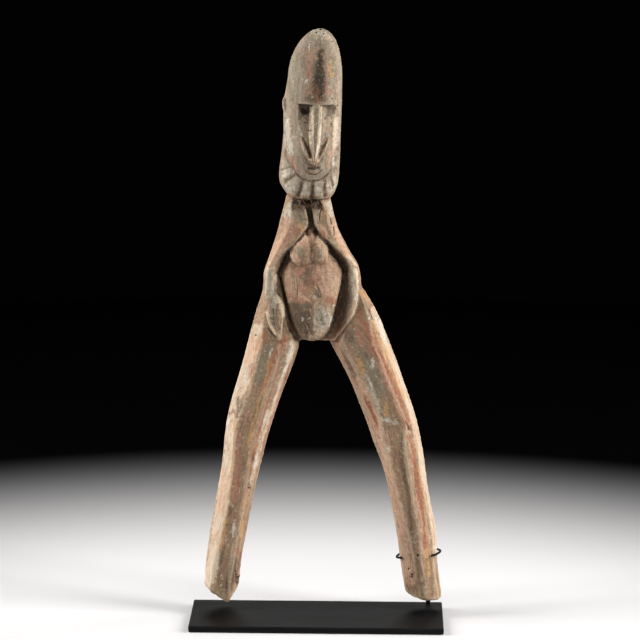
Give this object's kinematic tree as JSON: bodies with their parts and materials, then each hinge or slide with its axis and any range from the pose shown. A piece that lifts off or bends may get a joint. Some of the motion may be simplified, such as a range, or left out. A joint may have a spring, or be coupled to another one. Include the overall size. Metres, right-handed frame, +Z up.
{
  "type": "initiation figure",
  "caption": "Carved wooden spirit figure with a tall domed head, beaked nose, fringed beard and long faceted legs set wide apart, held by one ankle in a wire clip on a flat steel stand.",
  "frame": {"origin": "middle of the steel plate's underside, where the stand rests on a surface", "axes": "+Z up along the figure's height, -Y the way the figure faces, +X towards the figure's own left, which is the viewer's right"},
  "size_m": [0.262, 0.1156, 0.6134],
  "materials": {
    "carved_wood": "dry weathered wood with worn pale, red-brown and grey pigment",
    "black_steel": "satin black paint, a little dusty"
  },
  "bodies": {
    "root": {"carved_figure": "carved_wood", "base_plate": "black_steel", "support_rod": "black_steel", "leg_clip": "black_steel"}
  },
  "joints": []
}
